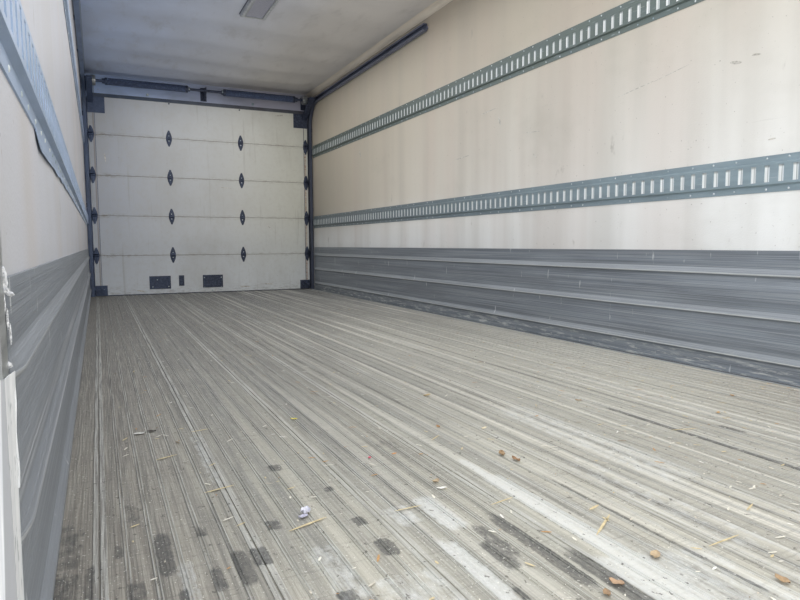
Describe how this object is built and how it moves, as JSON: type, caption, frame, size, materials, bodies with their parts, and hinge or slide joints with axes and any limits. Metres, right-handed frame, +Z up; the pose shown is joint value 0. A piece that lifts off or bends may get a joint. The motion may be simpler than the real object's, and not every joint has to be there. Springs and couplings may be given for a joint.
{
  "type": "refrigerated truck box body",
  "caption": "Insulated truck cargo box with ribbed floor, slotted lashing rails, sectional rear door on tracks, swinging side door and front cooling unit.",
  "frame": {"origin": "centre of the four chassis bolts, in the plane of the long sills' undersides", "axes": "+X to the street side, +Y to the rear door, +Z up"},
  "size_m": [2.622, 8.405, 2.487],
  "materials": {
    "steel_dark": "satin black paint",
    "steel_zinc": "galvanised",
    "steel_blue": "worn blue-grey galvanised finish",
    "alu_mill": "mill finish",
    "alu_floor": "worn mill finish",
    "frp_white": "gel-coated glass-fibre skin",
    "door_white": "off-white paint",
    "door_outer": "white paint",
    "rubber_black": "black rubber",
    "lens_clear": "milky polycarbonate",
    "lens_red": "red lens",
    "lens_amber": "amber lens",
    "plastic_white": "white moulded case",
    "plastic_black": "black moulded",
    "spring_steel": "oiled spring wire"
  },
  "bodies": {
    "box_body": {"long_sills": "steel_dark", "cross_members": "steel_zinc", "floor_insulation": "frp_white", "floor_planks": "alu_floor", "bottom_rails": "alu_mill", "street_wall": "frp_white", "curb_wall": "frp_white", "front_wall": "frp_white", "roof_panel": "frp_white", "top_rails": "alu_mill", "front_corner_posts": "alu_mill", "front_corner_caps": "alu_mill", "rear_frame": "steel_zinc", "dock_bumpers": "rubber_black", "scuff_liners": "alu_mill", "cove_mouldings": "frp_white", "dome_lights": "plastic_white", "dome_lenses": "lens_clear", "door_hinges": "steel_blue", "rollers": "steel_zinc", "bottom_brackets": "steel_blue", "top_brackets": "steel_blue", "door_tracks": "steel_blue", "counterbalance_shaft": "steel_zinc", "torsion_springs": "spring_steel", "cable_drums": "alu_mill", "lift_cables": "steel_zinc", "shaft_brackets": "steel_blue", "door_seals": "rubber_black", "grip_plates": "steel_blue", "door_latch": "steel_blue", "side_door_frame": "alu_mill", "side_hinge_butts": "steel_zinc", "lock_keepers": "steel_zinc", "unit_housing": "plastic_white", "unit_grille": "plastic_black", "fan_motor": "steel_dark", "evaporator_housing": "plastic_white", "evaporator_guards": "steel_zinc", "amber_lamps": "lens_amber", "red_lamps": "lens_red", "door_section_1": "door_white", "door_section_2": "door_white", "door_section_3": "door_white", "door_section_4": "door_white", "door_section_5": "door_white", "lashing_tracks_street": "steel_zinc", "lashing_tracks_curb": "steel_zinc"},
    "side_door": {"side_door_leaf": "door_outer", "side_door_gasket": "rubber_black", "side_hinge_straps": "steel_zinc", "side_lock_bar": "steel_zinc"},
    "condenser_fan_rotor": {"condenser_fan": "plastic_black"},
    "evaporator_fan_street_rotor": {"evaporator_fan_street": "plastic_black"},
    "evaporator_fan_curb_rotor": {"evaporator_fan_curb": "plastic_black"}
  },
  "joints": [
    {"name": "side_door_hinge", "type": "hinge", "parent": "box_body", "child": "side_door", "pos_m": [-1.254, -2.2405, 1.236], "axis": [0, 0, 1], "range_deg": [0, 180]},
    {"name": "condenser_fan_spin", "type": "hinge", "parent": "box_body", "child": "condenser_fan_rotor", "pos_m": [0, -4.2865, 2.115], "axis": [0, 1, 0], "continuous": true},
    {"name": "evaporator_fan_street_spin", "type": "hinge", "parent": "box_body", "child": "evaporator_fan_street_rotor", "pos_m": [0.31, -3.5885, 2.212], "axis": [0, 1, 0], "continuous": true},
    {"name": "evaporator_fan_curb_spin", "type": "hinge", "parent": "box_body", "child": "evaporator_fan_curb_rotor", "pos_m": [-0.31, -3.5885, 2.212], "axis": [0, 1, 0], "continuous": true}
  ]
}
